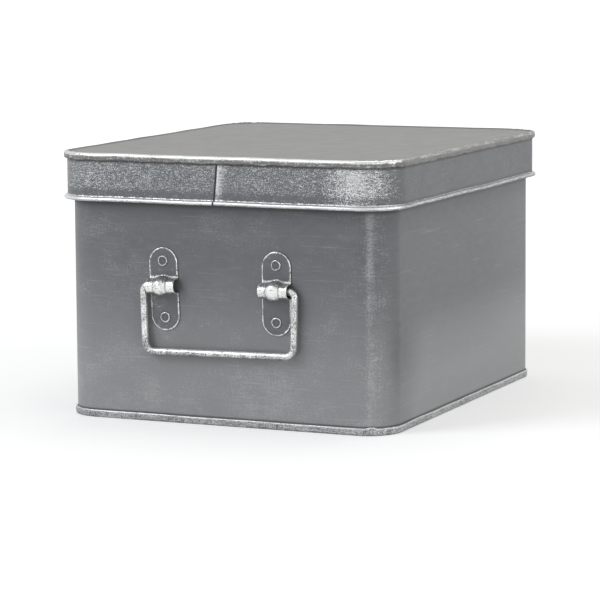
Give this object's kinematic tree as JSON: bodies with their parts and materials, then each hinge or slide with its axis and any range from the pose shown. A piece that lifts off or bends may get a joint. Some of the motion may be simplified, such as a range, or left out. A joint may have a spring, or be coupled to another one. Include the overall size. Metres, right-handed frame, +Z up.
{
  "type": "metal storage box",
  "caption": "Rectangular sheet-steel keepsake box with rounded corners, a lift-off lid with a rolled edge and a swinging wire handle riveted to each short end.",
  "frame": {"origin": "centre of the flat underside, on the surface that the box stands on", "axes": "+Z up; -Y out of the front short end, which has the lid's seam and a handle; X along the short ends, Y along the long sides"},
  "size_m": [0.2648, 0.321, 0.19],
  "materials": {
    "wall_paint": "worn dark grey paint brushed with silver, satin",
    "base_paint": "worn dark grey paint, silver on the edge",
    "lid_top_paint": "smooth warm grey paint with faint brush strokes, satin",
    "lid_side_paint": "dark grey paint heavily dry-brushed with silver",
    "handle_steel": "mottled silver over dark grey",
    "bracket_steel": "grey paint worn to silver at the edges",
    "rivet_steel": "grey paint with a bright worn ring",
    "rim_wire_steel": "plain drawn steel wire"
  },
  "bodies": {
    "body": {"body_wall": "wall_paint", "base_plate": "base_paint", "body_rim_wire": "rim_wire_steel", "front_left_bracket": "bracket_steel", "front_left_lower_rivet": "rivet_steel", "front_left_upper_rivet": "rivet_steel", "front_right_bracket": "bracket_steel", "front_right_lower_rivet": "rivet_steel", "front_right_upper_rivet": "rivet_steel", "rear_left_bracket": "bracket_steel", "rear_left_lower_rivet": "rivet_steel", "rear_left_upper_rivet": "rivet_steel", "rear_right_bracket": "bracket_steel", "rear_right_lower_rivet": "rivet_steel", "rear_right_upper_rivet": "rivet_steel"},
    "lid": {"lid_panel": "lid_top_paint", "lid_skirt": "lid_side_paint", "lid_rim_wire": "rim_wire_steel"},
    "front_handle": {"front_handle": "handle_steel"},
    "rear_handle": {"rear_handle": "handle_steel"}
  },
  "joints": [
    {"name": "lid_lift", "type": "slide", "parent": "body", "child": "lid", "axis": [0, 0, 1], "range_m": [0, 0.22]},
    {"name": "front_handle_swing", "type": "hinge", "parent": "body", "child": "front_handle", "pos_m": [0, -0.1543, 0.098], "axis": [-1, 0, 0], "range_deg": [0, 180]},
    {"name": "rear_handle_swing", "type": "hinge", "parent": "body", "child": "rear_handle", "pos_m": [0, 0.1543, 0.098], "axis": [1, 0, 0], "range_deg": [0, 180]}
  ]
}
